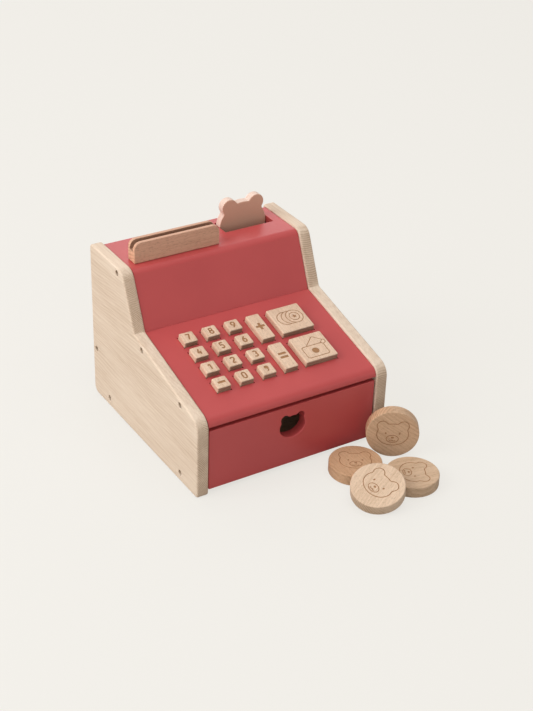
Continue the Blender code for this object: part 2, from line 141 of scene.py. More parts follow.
def bear(head, ear, ear_radius, passes=8):
    """Outline of a bear's head round the origin: an oval with two round ears."""
    ear = Vector(ear)
    turn = math.degrees(math.atan2(ear.y, ear.x))
    cheek = arc((0, 0), head, -90, turn, 3)
    crown = arc((0, 0), head, turn, 90, 3)
    clear = [[p for p in part if (p - ear).length > ear_radius] for part in (cheek, crown)]
    rim = [p for p in arc(ear, ear_radius, turn - 180, turn + 180)
           if math.hypot(p.x / head[0], p.y / head[1]) > 1.0]
    right = clear[0] + rim + clear[1]
    left = [Vector((-p.x, p.y)) for p in reversed(right)]
    return softened(right + left[1:-1], ear_radius * 0.1, passes)


def meeting(point_a, way_a, point_b, way_b):
    """Where two straight lines of the section cross."""
    between = point_b - point_a
    turn = way_a.x * way_b.y - way_a.y * way_b.x
    return point_a + way_a * ((between.x * way_b.y - between.y * way_b.x) / turn)


# ---- shapes ----
# a section drawn in (Y, Z) and extruded along X, and an elevation drawn in (X, Z)
SECTION = Matrix(((0, 0, 1, 0), (1, 0, 0, 0), (0, 1, 0, 0), (0, 0, 0, 1)))
ELEVATION = Matrix(((1, 0, 0, 0), (0, 0, -1, 0), (0, 1, 0, 0), (0, 0, 0, 1)))


def shown(name, mesh, place=None):
    """Wrap a mesh in an object of the scene."""
    obj = bpy.data.objects.new(name, mesh)
    if place is not None:
        obj.matrix_world = place
    bpy.context.scene.collection.objects.link(obj)
    return obj


def slab(name, outline, low, high, material, place=None, edge=0.0, segments=3):
    """A flat outline raised from one height to another, its rims rounded if asked."""
    shape = bmesh.new()
    foot = shape.faces.new([shape.verts.new((x * MM, y * MM, low * MM)) for x, y in outline])
    raised = bmesh.ops.extrude_face_region(shape, geom=[foot], use_keep_orig=True)
    top = [part for part in raised["geom"] if isinstance(part, bmesh.types.BMVert)]
    bmesh.ops.translate(shape, vec=(0, 0, (high - low) * MM), verts=top)
    bmesh.ops.recalc_face_normals(shape, faces=shape.faces)
    if edge:
        rims = [e for face in shape.faces if len(face.verts) == len(outline) for e in face.edges]
        bmesh.ops.bevel(shape, geom=rims, offset=edge * MM, segments=segments, profile=0.5,
                        affect="EDGES", clamp_overlap=False)
    mesh = bpy.data.meshes.new(name)
    shape.to_mesh(mesh)
    shape.free()
    mesh.materials.append(material)
    return shown(name, mesh, place)


def turned(name, profile, material, place=None, steps=32):
    """A (radius, height) profile, listed top to bottom, spun round Z."""
    mesh = bpy.data.meshes.new(name)
    points = [(radius * MM, 0.0, height * MM) for radius, height in profile]
    mesh.from_pydata(points, [(i, i + 1) for i in range(len(points) - 1)], [])
    mesh.materials.append(material)
    obj = shown(name, mesh, place)
    spin = obj.modifiers.new("spin", "SCREW")
    spin.steps = spin.render_steps = steps
    spin.use_merge_vertices = True
    spin.merge_threshold = 0.00001
    return settled(obj)


def settled(obj):
    """Apply an object's modifiers for good."""
    bpy.context.view_layer.update()
    solid = obj.evaluated_get(bpy.context.evaluated_depsgraph_get())
    mesh = bpy.data.meshes.new_from_object(solid)
    obj.modifiers.clear()
    obj.data = mesh
    return obj


def combine(obj, tool, operation="DIFFERENCE", crossing=False):
    """Cut a tool out of an object, or join it on; the new faces keep the tool's material."""
    change = obj.modifiers.new("change", "BOOLEAN")
    change.operation = operation
    change.solver = "EXACT"
    change.material_mode = "TRANSFER"
    change.use_self = crossing
    change.object = tool
    settled(obj)
    bpy.data.objects.remove(tool)


def eased(obj, width, segments=3):
    """Round an object's sharp edges."""
    bevel = obj.modifiers.new("edges", "BEVEL")
    bevel.width = width * MM
    bevel.segments = segments
    bevel.limit_method = "ANGLE"
    bevel.angle_limit = math.radians(40)
    settled(obj)


def finished(obj, body, slot, *nodes, local=False):
    """Shade a piece, let it ride on a body and let it stand for its CAD nodes.

    Its material's pattern lies in the frame's coordinates, or in its own if local.
    """
    obj.matrix_world = TO_FRAME @ obj.matrix_world
    if not local:
        obj.data.transform(obj.matrix_world)
        obj.matrix_world = Matrix.Identity(4)
    obj.data.shade_smooth()
    obj.data.set_sharp_from_angle(angle=math.radians(38))
    obj.modifiers.new("shading", "WEIGHTED_NORMAL").keep_sharp = True
    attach(obj, body)
    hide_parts(*nodes)


def engraved(obj, place, lines=(), width=1.0, pits=(), depth=0.3):
    """Burn lines, as (path, closed), and flat pits into the face that place lies on."""
    curve = bpy.data.curves.new("lines", "CURVE")
    curve.dimensions = "3D"
    curve.bevel_depth = width / 2 * MM
    curve.bevel_resolution = 1
    curve.use_fill_caps = True
    lift = width / 2 - min(depth, width / 2)
    for path, closed in lines:
        spline = curve.splines.new("POLY")
        spline.points.add(len(path) - 1)
        for point, (x, y) in zip(spline.points, path):
            point.co = (x * MM, y * MM, lift * MM, 1.0)
        spline.use_cyclic_u = closed
    drawn = shown("lines", curve)
    bpy.context.view_layer.update()
    solid = drawn.evaluated_get(bpy.context.evaluated_depsgraph_get())
    shape = bmesh.new()
    shape.from_mesh(bpy.data.meshes.new_from_object(solid))
    bpy.data.objects.remove(drawn)
    bmesh.ops.remove_doubles(shape, verts=shape.verts, dist=0.000001)
    for outline in pits:
        pit = slab("pit", outline, -depth, 1.0, BURNT)
        shape.from_mesh(pit.data)
        bpy.data.objects.remove(pit)
    bmesh.ops.recalc_face_normals(shape, faces=shape.faces)
    for face in shape.faces:
        face.material_index = 0
    mesh = bpy.data.meshes.new("engraving")
    shape.to_mesh(mesh)
    shape.free()
    mesh.materials.append(BURNT)
    combine(obj, shown("engraving", mesh, place), crossing=True)


# ---- materials ----
class Shader:
    """One material's node tree, built with short calls."""

    def __init__(self, name):
        self.material = bpy.data.materials.new(name)
        self.material.use_nodes = True
        self.tree = self.material.node_tree
        self.surface = self.tree.nodes["Principled BSDF"]

    def node(self, kind, feeds=None, **settings):
        new = self.tree.nodes.new("ShaderNode" + kind)
        for key, value in settings.items():
            setattr(new, key, value)
        for key, value in (feeds or {}).items():
            self.feed(new.inputs[key], value)
        return new

    def feed(self, socket, value):
        if isinstance(value, bpy.types.NodeSocket):
            self.tree.links.new(value, socket)
        else:
            socket.default_value = value

    def math(self, operation, first, second=0.0):
        return self.node("Math", {0: first, 1: second}, operation=operation).outputs[0]

    def span(self, value, low, high, start=0.0, stop=1.0):
        """Map a value's span onto another, clamped."""
        feeds = {"Value": value, "From Min": low, "From Max": high,
                 "To Min": start, "To Max": stop}
        return self.node("MapRange", feeds).outputs[0]

    def mix(self, share, first, second, blend="MIX"):
        new = self.node("Mix", {0: share, 6: first, 7: second}, data_type="RGBA",
                        blend_type=blend)
        return new.outputs[2]

    def moved(self, vector, scale=(1, 1, 1), turn=(0, 0, 0), shift=(0, 0, 0), kind="POINT"):
        feeds = {"Vector": vector, "Scale": scale, "Rotation": turn, "Location": shift}
        if kind != "POINT":
            feeds.pop("Location")
        return self.node("Mapping", feeds, vector_type=kind).outputs[0]

    def noise(self, vector, scale, detail=2.0, roughness=0.5):
        feeds = {"Vector": vector, "Scale": scale, "Detail": detail, "Roughness": roughness}
        return self.node("TexNoise", feeds).outputs[0]

    def place(self):
        return self.node("TexCoord").outputs["Object"]

    def edge_wear(self, radius, breakup):
        """How near a point is to a sharp edge, broken up by a noise."""
        soft = self.node("Bevel", {"Radius": radius}, samples=4).outputs[0]
        true = self.node("NewGeometry").outputs["True Normal"]
        cosine = self.node("VectorMath", {0: soft, 1: true}, operation="DOT_PRODUCT").outputs[1]
        near = self.span(cosine, 0.995, 0.86)
        return self.math("MULTIPLY", near, breakup)

    def finish(self, colour, roughness, height=None, strength=0.2, distance=0.0001, **extra):
        self.feed(self.surface.inputs["Base Color"], colour)
        self.feed(self.surface.inputs["Roughness"], roughness)
        for key, value in extra.items():
            self.feed(self.surface.inputs[key.replace("_", " ")], value)
        if height is not None:
            feeds = {"Strength": strength, "Distance": distance, "Height": height}
            self.feed(self.surface.inputs["Normal"], self.node("Bump", feeds).outputs[0])
        return self.material


def rgba(red, green, blue):
    return (red, green, blue, 1.0)


def wood(name, pale, dark, turn=(0, 0, 0), shift=(0, 0, 0), ring=2.0, ring_depth=0.35,
         flecks=0.0, end_tint_and_painted_light=0.78, far=0.12, end_rings=0.75, end_ring=None):
    """Solid wood: a pattern through the whole piece, with its grain along the turned X axis.

    Growth rings are shells round a far axis, so they show as lines along a board's faces
    and as bands on its end grain. Flecks are the short dark rays of beech. End-grain faces
    are multiplied by a tint that is partly the end grain's own darker tone and partly painted
    light and shade; above 1 it paints those faces lighter, as if lit.
    """
    s = Shader(name)
    place = s.moved(s.place(), turn=turn, shift=shift)
    drift = s.noise(s.moved(place, (5, 22, 22)), 1.0, 2.0)
    tone = s.noise(s.moved(place, (7, 60, 60)), 1.0, 2.0)
    fibre = s.noise(s.moved(place, (60, 1500, 1500)), 1.0, 2.0, 0.6)
    across = s.node("SeparateXYZ", {0: place})
    sway = s.math("MULTIPLY", s.math("SUBTRACT", drift, 0.5), 0.016)
    side = s.math("ADD", across.outputs[1], sway)
    up = s.math("ADD", s.math("ADD", across.outputs[2], sway), far)
    radius = s.math("SQRT", s.math("ADD", s.math("MULTIPLY", side, side),
                                   s.math("MULTIPLY", up, up)))
    facing = s.moved(s.node("TexCoord").outputs["Normal"], turn=turn, kind="NORMAL")
    endways = s.math("ABSOLUTE", s.node("SeparateXYZ", {0: facing}).outputs[0])
    end_grain = s.span(endways, 0.55, 0.95)

    def growth(spacing):
        wave = s.math("SINE", s.math("MULTIPLY", radius, 2 * math.pi / (spacing * MM)))
        return s.math("POWER", s.span(wave, -1.0, 1.0), 2.0)

    rings = growth(ring)
    if end_ring:
        change = s.math("SUBTRACT", growth(end_ring), rings)
        rings = s.math("ADD", rings, s.math("MULTIPLY", end_grain, change))
    rings = s.math("MULTIPLY", rings, s.span(tone, 0.35, 0.65, 0.35, 1.0))

    amount = s.math("MULTIPLY", rings, s.span(end_grain, 0.0, 1.0, ring_depth, end_rings))
    streak = s.noise(s.moved(place, (14, 420, 420)), 1.0, 3.0, 0.65)
    amount = s.math("ADD", amount, s.span(tone, 0.3, 0.7, 0.0, 0.35))
    amount = s.math("ADD", amount, s.span(streak, 0.3, 0.7, -0.2, 0.3))
    amount = s.math("ADD", amount, s.span(fibre, 0.3, 0.7, -0.16, 0.24))
    colour = s.mix(s.span(amount, 0.0, 1.0), rgba(*pale), rgba(*dark))
    if flecks:
        rays = s.noise(s.moved(place, (330, 1700, 1700)), 1.0, 1.0)
        rays = s.span(rays, 0.56, 0.66, 0.0, flecks)
        colour = s.mix(rays, colour, rgba(*(0.45 * part for part in dark)))
    lines = s.math("MULTIPLY", rings, s.math("MULTIPLY", end_grain, 0.45))
    colour = s.mix(lines, colour, rgba(*(0.6 * part for part in dark)))
    # end-grain tint: the end grain's own darker tone mixed with painted light and shade on those
    # faces
    shade = rgba(end_tint_and_painted_light, end_tint_and_painted_light * 0.97, end_tint_and_painted_light * 0.93)
    colour = s.mix(end_grain, colour, s.mix(1.0, colour, shade, "MULTIPLY"))
    roughness = s.span(fibre, 0.3, 0.7, 0.5, 0.68)
    height = s.math("SUBTRACT", fibre, s.math("MULTIPLY", rings, 0.3))
    return s.finish(colour, roughness, height, 0.35, 0.00012)


def painted(name, colour, shade, roughness, rub, rim=None):
    """Satin paint on wood, a little uneven, rubbed lighter along its edges.

    A board that faces front and back can have a paler colour on its rim, the faces turned away
    from front and back.
    """
    s = Shader(name)
    place = s.place()
    cloud = s.noise(place, 14.0, 3.0)
    grain = s.noise(s.moved(place, (260, 900, 900)), 1.0, 2.0)
    speck = s.noise(place, 420.0, 3.0, 0.6)
    base = s.mix(s.span(cloud, 0.3, 0.7), rgba(*colour), rgba(*shade))
    if rim:
        facing = s.node("SeparateXYZ", {0: s.node("TexCoord").outputs["Normal"]})
        across = s.span(s.math("ABSOLUTE", facing.outputs[1]), 0.75, 0.35)
        base = s.mix(across, base, rgba(*rim))
    worn = s.edge_wear(0.0012, s.span(s.noise(place, 90.0, 3.0), 0.42, 0.62, 0.0, rub))
    base = s.mix(worn, base, rgba(*(min(1.0, part * 1.25 + 0.05) for part in colour)))
    gloss = s.math("ADD", s.span(speck, 0.3, 0.7, -0.04, 0.04), roughness)
    height = s.math("ADD", s.math("MULTIPLY", grain, 0.7), speck)
    return s.finish(base, gloss, height, 0.10, 0.00006)


def plywood(name, pale, dark, layers):
    """Raw plywood whose glued layers show on its edges, stacked along an axis."""
    s = Shader(name)
    place = s.place()
    parts = s.node("SeparateXYZ", {0: place})
    facing = s.node("SeparateXYZ", {0: s.node("TexCoord").outputs["Normal"]})
    grain = (30, 420, 420) if layers else (420, 30, 420)
    streak = s.noise(s.moved(place, grain), 1.0, 3.0, 0.6)
    colour = s.mix(s.span(streak, 0.3, 0.7), rgba(*pale), rgba(*dark))
    turns = 2 * math.pi / (PLY_LAYER * MM)
    stack = s.math("SINE", s.math("MULTIPLY", parts.outputs[layers], turns))
    edge = s.span(s.math("ABSOLUTE", facing.outputs[layers]), 0.7, 0.4)
    bands = s.math("MULTIPLY", s.span(stack, -0.2, 0.4), edge)
    colour = s.mix(s.math("MULTIPLY", bands, 0.55), colour, rgba(*(0.55 * c for c in dark)))
    return s.finish(colour, s.span(streak, 0.3, 0.7, 0.6, 0.75), streak, 0.3, 0.0001)


def metal(name, colour, roughness):
    """Zinc-plated steel with faint turning marks."""
    s = Shader(name)
    marks = s.noise(s.moved(s.place(), (300, 300, 4000)), 1.0, 2.0)
    tint = s.mix(s.span(marks, 0.3, 0.7), rgba(*colour), rgba(*(0.7 * c for c in colour)))
    return s.finish(tint, s.span(marks, 0.3, 0.7, roughness, roughness + 0.15), marks,
                    0.2, 0.00005, Metallic=1.0)


def foamed(name, colour):
    """Dark open-cell foam."""
    s = Shader(name)
    cells = s.node("TexVoronoi", {"Vector": s.place(), "Scale": 1400.0}).outputs[0]
    tint = s.mix(s.span(cells, 0.0, 0.7), rgba(*colour), rgba(*(1.8 * c for c in colour)))
    return s.finish(tint, s.span(cells, 0.0, 0.7, 0.85, 0.95), cells, 0.6, 0.0003)


def burnt_wood():
    """Laser-burnt wood at the bottom of an engraving."""
    s = Shader("burnt_wood")
    soot = s.noise(s.place(), 900.0, 3.0)
    colour = s.mix(s.span(soot, 0.3, 0.7), rgba(0.30, 0.145, 0.06), rgba(0.40, 0.21, 0.10))
    return s.finish(colour, s.span(soot, 0.3, 0.7, 0.75, 0.9), soot, 0.3, 0.0001)


SLOPE = math.atan2(STEP_Z - FRONT_HEIGHT, STEP_Y)
ALONG_Y = (0.0, 0.0, math.pi / 2)
ALONG_SLOPE = (-SLOPE, 0.0, -math.pi / 2)
BURNT = burnt_wood()
RED = painted("red_paint", (0.51, 0.072, 0.071), (0.465, 0.062, 0.062), 0.36, 0.35)
ROSE = painted("rose_paint", (0.66, 0.385, 0.275), (0.62, 0.355, 0.25), 0.62, 0.3,
               rim=(0.74, 0.545, 0.455))
# a low end tint: the end grain's darker tone plus painted shade on the key fronts, which face down
# the slope
KEY_WOOD = wood("key_beech", (0.76, 0.56, 0.41), (0.56, 0.36, 0.235), ALONG_SLOPE, ring=2.6,
                ring_depth=0.25, flecks=0.35, end_tint_and_painted_light=0.48)
# an end tint above 1: painted light on the holder's end faces
HOLDER_WOOD = wood("holder_beech", (0.64, 0.37, 0.25), (0.49, 0.265, 0.17), ring=3.1,
                   ring_depth=0.2, flecks=0.3, end_tint_and_painted_light=1.2)
# darker wood for the groove's cut faces: painted shade inside the groove
GROOVE_SHADE_WOOD = wood("groove_beech_painted_shade", (0.42, 0.235, 0.155), (0.31, 0.16, 0.10), ring=3.1,
                   ring_depth=0.3, flecks=0.5, end_tint_and_painted_light=0.9)
# near-black: painted shade for the screw heads down in their holes
STEEL = metal("steel_darkened_as_hole_shade", (0.03, 0.024, 0.02), 0.5)
FOAM = foamed("dark_foam", (0.03, 0.03, 0.033))
PLY = [plywood(f"plywood_{'xyz'[axis]}", (0.72, 0.56, 0.38), (0.60, 0.44, 0.28), axis)
       for axis in range(3)]
SIDE_WOOD = {
    side: wood(f"side_wood_{side}", (0.745, 0.605, 0.475), (0.55, 0.40, 0.285), ALONG_Y, shift,
               ring=2.5, ring_depth=0.35, end_tint_and_painted_light=0.92, far=0.2, end_rings=1.3,
               end_ring=end_ring)
    for side, shift, end_ring in (("left", (0.0, 0.355, 0.0), 1.35),
                                  ("right", (0.3, -0.094, 0.05), 1.8))
}

# ---- the body's section: Y along, Z up ----
STEEP = math.atan2(HEIGHT - STEP_Z, BROW_Y - STEP_Y)
ALONG = Vector((math.cos(SLOPE), math.sin(SLOPE)))       # up the keypad
NORMAL = Vector((-math.sin(SLOPE), math.cos(SLOPE)))     # out of the keypad
CLIMB = Vector((math.cos(STEEP), math.sin(STEEP)))       # up the display face
FACE = Vector((-math.sin(STEEP), math.cos(STEEP)))       # out of the display face
LEVEL, UPRIGHT = Vector((1.0, 0.0)), Vector((0.0, 1.0))
TOP_Z = HEIGHT - INSET
KEYPAD_FOOT = Vector((0.0, FRONT_HEIGHT)) - NORMAL * INSET
STEP = meeting(KEYPAD_FOOT, ALONG, Vector((STEP_Y, STEP_Z)) - FACE * INSET, CLIMB)
BROW = meeting(STEP, CLIMB, Vector((0.0, TOP_Z)), LEVEL)
NOSE = meeting(KEYPAD_FOOT, ALONG, Vector((INSET, 0.0)), UPRIGHT)
KEYPAD = (Matrix.Translation(Vector((0.0, *KEYPAD_FOOT)) * MM)
          @ Matrix.Rotation(SLOPE, 4, "X"))


def drawn_points(node):
    """A CAD node's vertices as drawn, in metres."""
    back = TO_FRAME.inverted()
    return [back @ vertex.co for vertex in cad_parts[node].data.vertices]


def extent(node, place=None):
    """A CAD node's lowest and highest corner seen from a place, in millimetres."""
    back = (place or Matrix.Identity(4)).inverted()
    local = np.array([tuple(back @ point) for point in drawn_points(node)]) / MM
    return Vector(local.min(axis=0)), Vector(local.max(axis=0))


def board(node, material, body, slot, edge=0.5, place=None):
    """A box-shaped board in its CAD node's place, with eased edges."""
    low, high = extent(node, place)
    outline = rectangle(low, high, edge)
    obj = slab(f"{node}_board", outline, low.z, high.z, material, place, edge)
    finished(obj, body, slot, node)


# ---- screws ----
def make_screw_mesh():
    """A countersunk wood screw with a cross recess, its head's top at the origin."""
    profile = [(0.0, 0.0), (2.2, 0.0), (2.5, -0.25), (2.5, -0.6), (1.45, -2.8), (1.4, -24.0),
               (0.5, -26.7), (0.0, -27.0)]
    screw = turned("screw_blank", profile, STEEL)
    arm, reach = 0.36, 1.35
    cross = [(arm, arm), (arm, reach), (-arm, reach), (-arm, arm), (-reach, arm),
             (-reach, -arm), (-arm, -arm), (-arm, -reach), (arm, -reach), (arm, -arm),
             (reach, -arm), (reach, arm)]
    combine(screw, slab("recess", cross, -1.1, 1.0, STEEL))
    mesh = screw.data
    bpy.data.objects.remove(screw)
    return mesh


def screw_place(node):
    """Where a screw's head is, with local +Z pointing out of its side board."""
    low, high = extent(node)
    side = 1.0 if low.x > 0 else -1.0
    spot = Vector((high.x if side > 0 else low.x, (low.y + high.y) / 2, (low.z + high.z) / 2))
    return Matrix.Translation(spot * MM) @ Matrix.Rotation(side * math.pi / 2, 4, "Y")


def make_screws():
    """All screws, sharing one mesh; their places are returned for the holes."""
    mesh = make_screw_mesh()
    places = {}
    for node in sorted(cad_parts):
        if node.startswith("screw_"):
            places[node] = screw_place(node)
            finished(shown(f"{node}_cross", mesh.copy(), places[node]), "housing", "steel", node)
    return places


# ---- side boards ----
def make_sides(screws):
    """Both side boards, with round edges, screw holes and sockets for the lever's axle."""
    outline = rounded([
        (0.0, 0.0, 3.0),
        (0.0, FRONT_HEIGHT, 14.0),
        (STEP_Y, STEP_Z, 2.2),
        (BROW_Y, HEIGHT, 12.5),
        (DEPTH, HEIGHT, 3.5),
        (DEPTH, 0.0, 8.0),
    ], step=4.0)
    axle_low, axle_high = extent("lever_axle")
    for side in ("left", "right"):
        node = f"side_panel_{side}"
        low, high = extent(node)
        material = SIDE_WOOD[side]
        obj = slab(f"{node}_board", outline, low.x, high.x, material, SECTION,
                   SIDE_EDGE_ROUND, 5)
        for screw, place in screws.items():
            if side in screw:
                rim = [(0.0, 3.0), (3.1, 3.0), (3.1, SCREW_SINK + 0.05), (2.8, SCREW_SINK - 0.3),
                       (2.8, -3.0), (1.75, -4.0), (1.75, -30.0), (0.0, -30.0)]
                combine(obj, turned("hole", rim, material, place, 40))
        middle = (axle_low + axle_high) / 2
        lying = Matrix.Translation(middle * MM) @ Matrix.Rotation(math.pi / 2, 4, "Y")
        half = (axle_high.x - axle_low.x) / 2 + GAP
        radius = (axle_high.y - axle_low.y) / 2 + GAP
        socket = [(0.0, half), (radius, half), (radius, -half), (0.0, -half)]
        combine(obj, turned("socket", socket, material, lying))
        finished(obj, "housing", "side_wood", node)


# ---- painted body ----
def make_upper_shell():
    """Top and display boards, glued and painted over as one, with the lever's slot."""
    low, high = extent("top_panel")
    reach = BROW_ROUND * math.tan(STEEP / 2)
    foot = STEP + CLIMB * PAINTED_OVER
    centre = BROW - CLIMB * reach - FACE * BROW_ROUND
    brow = arc(centre, BROW_ROUND, 90, 90 + math.degrees(STEEP), 4)
    rear = meeting(foot, ALONG, foot - FACE * BOARD, CLIMB)
    inside = meeting(rear, CLIMB, Vector((0.0, TOP_Z - BOARD)), LEVEL)
    outline = [foot, rear, inside, Vector((high.y, TOP_Z - BOARD)), Vector((high.y, TOP_Z))] + brow
    shell = slab("top_and_display_shell", outline, low.x, high.x, RED, SECTION)
    slot = rectangle((SLOT_X[0], SLOT_Y[0]), (SLOT_X[1], SLOT_Y[1]), SLOT_ROUND)
    combine(shell, slab("slot", slot, TOP_Z - 20, TOP_Z + BEYOND, RED))
    eased(shell, 0.45)
    finished(shell, "housing", "red_paint", "top_panel", "display_panel")


def key_nodes():
    return [node for node in sorted(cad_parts)
            if node.startswith("key_") and node not in ("key_bed", "key_foam_mat")]


def cap_extent(node):
    """The corners of a key's cap, without its flange, in the keypad's frame."""
    low, high = extent(node, KEYPAD)
    rim = Vector((KEY_FLANGE, KEY_FLANGE, 0.0))
    return low + rim, high - rim


def make_keypad():
    """The sloping keypad board with its round nose and a square hole for every key."""
    low, high = extent("keypad_panel")
    rear = STEP + ALONG * (BOARD + 2.0)
    lip = NOSE_ROUND * math.tan((math.pi / 2 - SLOPE) / 2) + GAP
    inner = meeting(KEYPAD_FOOT - NORMAL * BOARD, ALONG, Vector((INSET + BOARD, 0.0)), UPRIGHT)
    outline = rounded([
        (*rear, 0),
        (*NOSE, NOSE_ROUND),
        (INSET, NOSE.y - lip, 0),
        (INSET + BOARD, NOSE.y - lip, 0),
        (*inner, 0),
        (*(rear - NORMAL * BOARD), 0),
    ], step=4.0)
    panel = slab("keypad_board", outline, low.x, high.x, RED, SECTION)
    for node in key_nodes():
        cap_low, cap_high = cap_extent(node)
        hole = relieved(cap_low.x - KEY_CLEAR, cap_low.y - KEY_CLEAR,
                        cap_high.x + KEY_CLEAR, cap_high.y + KEY_CLEAR, ROUTER_RADIUS)
        combine(panel, slab("hole", hole, -BOARD - 3, 3, RED, KEYPAD))
    finished(panel, "housing", "red_paint", "keypad_panel")


# ---- keys ----
HALF_WIDE, HALF_TALL = 1.75, 3.4       # a digit's stroke middles, from its centre


def digit_lines():
    """Strokes of the engraved digits and signs, as (path, closed), round the origin."""
    w, h = HALF_WIDE, HALF_TALL
    bowl = 1.95
    return {
        "0": [(arc((0, h - w), w, 0, 180, 15) + arc((0, w - h), w, 180, 360, 15), True)],
        "1": [(rounded([(-w * 0.8, h - 1.7, 0), (w * 0.35, h - 0.1, 0.6), (w * 0.35, -h, 0)],
                       False), False)],
        "2": [(arc((0, h - w), w, 165, -30, 15)
               + rounded([(w * 0.6, 0.1, 0), (-w * 0.9, -h + 0.1, 0.6), (w, -h + 0.1, 0)],
                         False), False)],
        "3": [(arc((-0.1, h - 1.65), (w * 0.92, 1.65), 150, -80, 15), False),
              (arc((-0.1, bowl - h), (w, bowl), 85, -150, 15), False)],
        "4": [(rounded([(w * 0.15, h, 0), (-w, -1.4, 0.6), (w, -1.4, 0)], False), False),
              ([Vector((w * 0.45, 0.5)), Vector((w * 0.45, -h))], False)],
        "5": [(rounded([(w * 0.9, h, 0), (-w * 0.75, h, 0.5), (-w * 0.85, 0.3, 0)], False)
               + arc((-0.1, bowl - h), (w, bowl + 0.1), 110, -145, 15), False)],
        "6": [(arc((0, bowl - h), (w, bowl), 0, 360, 15)[:-1], True),
              (rounded([(w * 0.55, h, 0), (-w * 0.55, 0.9, 3.0), (-w, bowl - h, 0)],
                       False), False)],
        "7": [(rounded([(-w, h, 0), (w, h, 0.6), (-w * 0.3, -h, 0)], False), False)],
        "8": [(arc((0, h - 1.6), (w * 0.85, 1.6), 0, 360, 15)[:-1], True),
              (arc((0, 1.85 - h), (w, 1.85), 0, 360, 15)[:-1], True)],
        "9": [(arc((0, h - bowl), (w, bowl), 0, 360, 15)[:-1], True),
              (rounded([(-w * 0.55, -h, 0), (w * 0.55, -0.9, 3.0), (w, h - bowl, 0)],
                       False), False)],
    }


def bars(*middles, long=7.5, thick=2.6):
    """Pit outlines of level bars at some heights."""
    return [rectangle((-long / 2, y - thick / 2), (long / 2, y + thick / 2), 0.25)
            for y in middles]


def comma():
    """Pit outline of a comma: a round head and a tail that curls to the left."""
    head = arc((0.0, 1.6), 2.2, -60, 200)
    tail = [(-1.2, 0.4), (0.1, -0.2), (-0.1, -2.0), (-1.6, -3.5), (0.6, -2.9), (2.0, -1.1)]
    return softened(head + [Vector(point) for point in tail], 0.2, 3)


def star(middle, outer, inner):
    """A five-pointed star's outline."""
    turns = [math.pi / 2 + math.pi * i / 5 for i in range(10)]
    return [Vector((middle[0] + (outer, inner)[i % 2] * math.cos(t),
                    middle[1] + (outer, inner)[i % 2] * math.sin(t)))
            for i, t in enumerate(turns)]


def coins_icon():
    """Three fanned coins, the foremost with a ring and a star."""
    radius, pitch, foremost = 8.4, 4.75, Vector((5.1, 0.9))
    hidden = math.degrees(math.acos(pitch / 2 / radius))
    front = arc(foremost, radius, 0, 360)[:-1]
    ring = arc(foremost, 5.0, 0, 360)[:-1]
    fans = [(arc((foremost.x - pitch * i, foremost.y), radius, hidden, 360 - hidden), False)
            for i in (1, 2)]
    return [(front, True), (ring, True)] + fans, [star(foremost, 2.6, 1.2)]


def purse_icon():
    """An open purse with a round clasp and a dot."""
    body = rectangle((-12.1, -12.6), (10.9, 1.9), 2.2)
    flap = rounded([(-6.6, 1.9, 0), (4.9, 12.3, 1.8), (12.4, 5.6, 0), (8.9, 1.9, 0)], False)
    tab = arc((12.2, 3.2), 2.4, -110, 85)
    return [(body, True), (flap, False), (tab, False)], [arc((-0.6, -5.3), 3.5, 0, 360)[:-1]]


def key_marks(word):
    """Lines, line width and pits that are burnt into one key."""
    if word in digit_lines():
        return digit_lines()[word], 2.1, []
    if word == "coins":
        lines, pits = coins_icon()
        return lines, 0.95, pits
    if word == "purse":
        lines, pits = purse_icon()
        return lines, 0.95, pits
    level = bars(0.0, long=9.0)
    upright = [Vector((-point.y, point.x)) for point in level[0]]
    signs = {"plus": level + [upright], "minus": bars(0.0),
             "equals": bars(2.4, -2.4, long=8.0), "comma": [comma()]}
    return [], 1.0, signs[word]


def make_keys():
    """Wooden keys with round edges and burnt marks, each on its own foam pad."""
    foam_low, foam_high = extent("key_foam_mat", KEYPAD)
    for node in key_nodes():
        low, high = cap_extent(node)
        middle = (low + high) / 2
        here = KEYPAD @ Matrix.Translation(Vector((middle.x, middle.y, 0.0)) * MM)
        half = Vector(((high.x - low.x) / 2, (high.y - low.y) / 2))
        brim = half + Vector((KEY_FLANGE, KEY_FLANGE))
        flange_top = -(BOARD + GAP)
        key = slab(f"{node}_cap", rectangle(-half, half, KEY_CORNER), low.z + 1.5, high.z,
                   KEY_WOOD, here, KEY_EDGE, 4)
        combine(key, slab("flange", rectangle(-brim, brim, 1.0), low.z, flange_top, KEY_WOOD,
                          here, 0.3, 2), "UNION")
        lines, width, pits = key_marks(node.removeprefix("key_"))
        face = here @ Matrix.Translation((0, 0, high.z * MM))
        engraved(key, face, lines, width, pits, max(0.3, 0.25 * width))
        finished(key, node, "beech", node)

        pad = slab(f"foam_pad_{node.removeprefix('key_')}", rectangle(-brim, brim, 1.0),
                   foam_low.z, foam_high.z, FOAM, here, 0.6)
        finished(pad, "housing", "foam", "key_foam_mat")
        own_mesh(pad)


